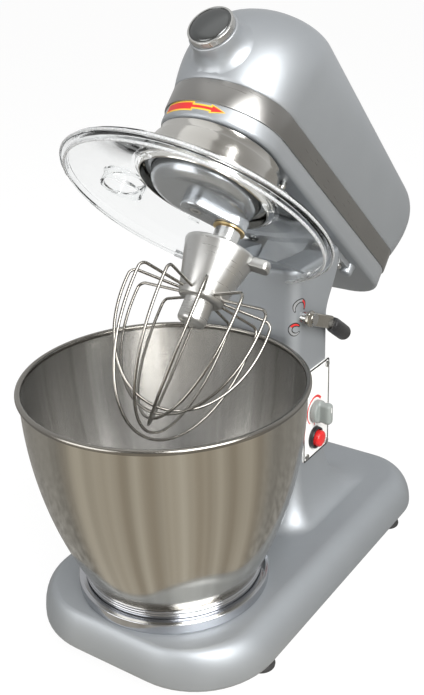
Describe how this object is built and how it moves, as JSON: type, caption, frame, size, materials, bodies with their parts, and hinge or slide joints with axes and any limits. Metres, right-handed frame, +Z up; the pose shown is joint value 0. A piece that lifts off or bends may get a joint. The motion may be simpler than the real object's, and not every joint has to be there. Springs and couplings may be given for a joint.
{
  "type": "tilt-head stand mixer",
  "caption": "Planetary stand mixer with its head tilted up, a steel bowl locked on the base, a wire whisk, a clear bowl guard, a lock lever and a side control panel.",
  "frame": {"origin": "middle of the object's box, on the surface that the feet stand on", "axes": "+X towards the control panel side, +Y towards the rear, +Z up; the bowl is at the front"},
  "size_m": [0.23, 0.483, 0.5069],
  "materials": {
    "paint": "metallic silver paint",
    "polished": "polished stainless steel",
    "satin": "satin brushed stainless steel",
    "steel": "machined steel",
    "cast": "satin cast aluminium",
    "gear": "hardened gear steel",
    "bronze": "bearing bronze",
    "copper": "copper windings",
    "rubber": "matt rubber",
    "black": "moulded black plastic",
    "grey": "moulded grey plastic",
    "red": "moulded red plastic",
    "white": "white enamelled plate",
    "clear": "clear moulded plastic"
  },
  "bodies": {
    "base": {"base_casting": "paint", "bottom_cover": "steel", "feet": "rubber", "foot_screws": "steel", "seat_ring": "polished", "seat_screws": "steel", "control_plate": "white", "plate_screws": "steel", "speed_control": "black", "button_bezel": "black", "switch_block": "black", "cord_gland": "black", "hinge_pin": "steel"},
    "bowl": {"bowl": "polished", "bowl_foot_ring": "polished"},
    "knob": {"speed_knob": "grey"},
    "button": {"stop_button": "red"},
    "lever": {"lock_shaft": "steel", "lever_arm": "polished", "lever_grip": "black"},
    "head": {"lower_casting": "paint", "top_cover": "paint", "trim_band": "satin", "guard_pin": "steel", "hinge_bracket": "paint", "bracket_screws": "steel", "hub_sleeve": "steel", "planet_housing": "cast", "collar": "polished", "ring_gear": "gear", "spindle_bearings": "steel", "gear_bridge": "steel", "bridge_posts": "steel", "drive_belt": "rubber", "motor_foot": "steel", "motor_case": "steel", "motor_stator": "copper", "motor_lid": "steel", "splash_guard": "clear", "guard_clips": "steel"},
    "cap": {"hub_cap": "polished"},
    "planet": {"planet_hub": "cast", "hub_screw": "steel", "spindle": "steel", "main_gear": "gear", "planet_bushes": "bronze"},
    "agitator": {"agitator_shaft": "steel", "planet_pinion": "gear", "thrust_washer": "bronze", "drive_pin": "steel", "whisk_hub": "cast", "whisk_latch": "cast", "whisk_wires": "polished"},
    "layshaft": {"layshaft": "steel", "layshaft_pinion": "gear", "large_belt_pulley": "cast"},
    "rotor": {"rotor": "copper", "motor_pulley": "steel"}
  },
  "joints": [
    {"name": "head_tilt", "type": "hinge", "parent": "base", "child": "head", "pos_m": [0, 0.0375, 0.243], "axis": [1, 0, 0], "range_deg": [0, 44]},
    {"name": "planet_spin", "type": "hinge", "parent": "head", "child": "planet", "pos_m": [0, -0.04088, 0.39793], "axis": [0, 0.6947, 0.7193], "continuous": true},
    {"name": "agitator_spin", "type": "hinge", "parent": "planet", "child": "agitator", "pos_m": [0.02046, -0.03899, 0.3683], "axis": [0, 0.6947, 0.7193], "continuous": true},
    {"name": "layshaft_spin", "type": "hinge", "parent": "head", "child": "layshaft", "pos_m": [0, 0.02758, 0.40133], "axis": [0, 0.6947, 0.7193], "continuous": true},
    {"name": "motor_spin", "type": "hinge", "parent": "head", "child": "rotor", "pos_m": [0, 0.11471, 0.31719], "axis": [0, 0.6947, 0.7193], "continuous": true},
    {"name": "cap_pull", "type": "slide", "parent": "head", "child": "cap", "axis": [0, -0.6428, 0.766], "range_m": [0, 0.03]},
    {"name": "lever_turn", "type": "hinge", "parent": "base", "child": "lever", "pos_m": [0, 0.003, 0.257], "axis": [1, 0, 0], "range_deg": [0, 60]},
    {"name": "knob_turn", "type": "hinge", "parent": "base", "child": "knob", "pos_m": [0.051, 0.0219, 0.1606], "axis": [1, 0, 0], "range_deg": [-270, 0]},
    {"name": "button_press", "type": "slide", "parent": "base", "child": "button", "axis": [-1, 0, 0], "range_m": [0, 0.004], "stiffness_N_per_m": 400},
    {"name": "bowl_turn", "type": "hinge", "parent": "base", "child": "bowl", "pos_m": [0, -0.1265, 0.1], "axis": [0, 0, 1], "range_deg": [0, 60]}
  ],
  "couplings": [
    {"joint": "agitator_spin", "follows": "planet_spin", "ratio": -3.5},
    {"joint": "layshaft_spin", "follows": "planet_spin", "ratio": -4},
    {"joint": "motor_spin", "follows": "planet_spin", "ratio": -13.333}
  ]
}
